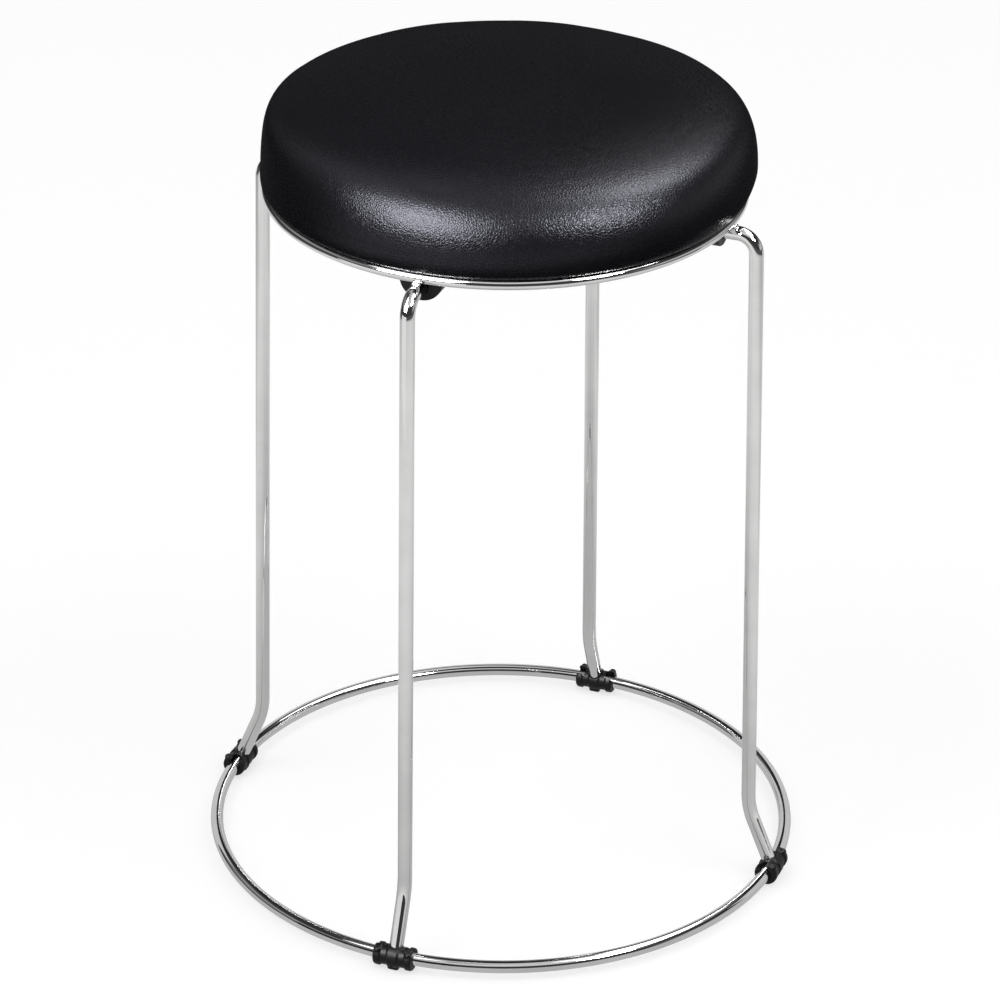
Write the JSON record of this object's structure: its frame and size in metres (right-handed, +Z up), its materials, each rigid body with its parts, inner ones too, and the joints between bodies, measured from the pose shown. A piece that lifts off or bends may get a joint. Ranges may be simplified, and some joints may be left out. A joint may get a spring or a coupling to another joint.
{
  "type": "stool",
  "caption": "Stackable round stool with a black padded seat on splayed chromed rod legs that stand in moulded foot clips on a base ring.",
  "frame": {"origin": "on the floor, under the middle of the seat", "axes": "+Z up along the stool's axis; the legs stand on +X, +Y, -X and -Y"},
  "size_m": [0.383, 0.383, 0.511],
  "materials": {
    "black_vinyl": "fine grain, satin",
    "seat_foam": "open-cell polyurethane foam",
    "plywood": "raw plywood",
    "bottom_cloth": "thin non-woven cloth",
    "chrome": "polished",
    "black_plastic": "moulded, semi-matte",
    "zinc_plate": "zinc plated"
  },
  "bodies": {
    "root": {"seat_cover": "black_vinyl", "seat_foam": "seat_foam", "seat_board": "plywood", "bottom_cloth": "bottom_cloth", "seat_ring": "chrome", "base_ring": "chrome", "leg_right": "chrome", "leg_back": "chrome", "leg_left": "chrome", "leg_front": "chrome", "foot_clip_right": "black_plastic", "foot_clip_back": "black_plastic", "foot_clip_left": "black_plastic", "foot_clip_front": "black_plastic", "stacking_pad_right": "black_plastic", "stacking_pad_back": "black_plastic", "stacking_pad_left": "black_plastic", "stacking_pad_front": "black_plastic", "seat_screw_right": "zinc_plate", "seat_screw_back": "zinc_plate", "seat_screw_left": "zinc_plate", "seat_screw_front": "zinc_plate", "tee_nut_right": "zinc_plate", "tee_nut_back": "zinc_plate", "tee_nut_left": "zinc_plate", "tee_nut_front": "zinc_plate"}
  },
  "joints": []
}
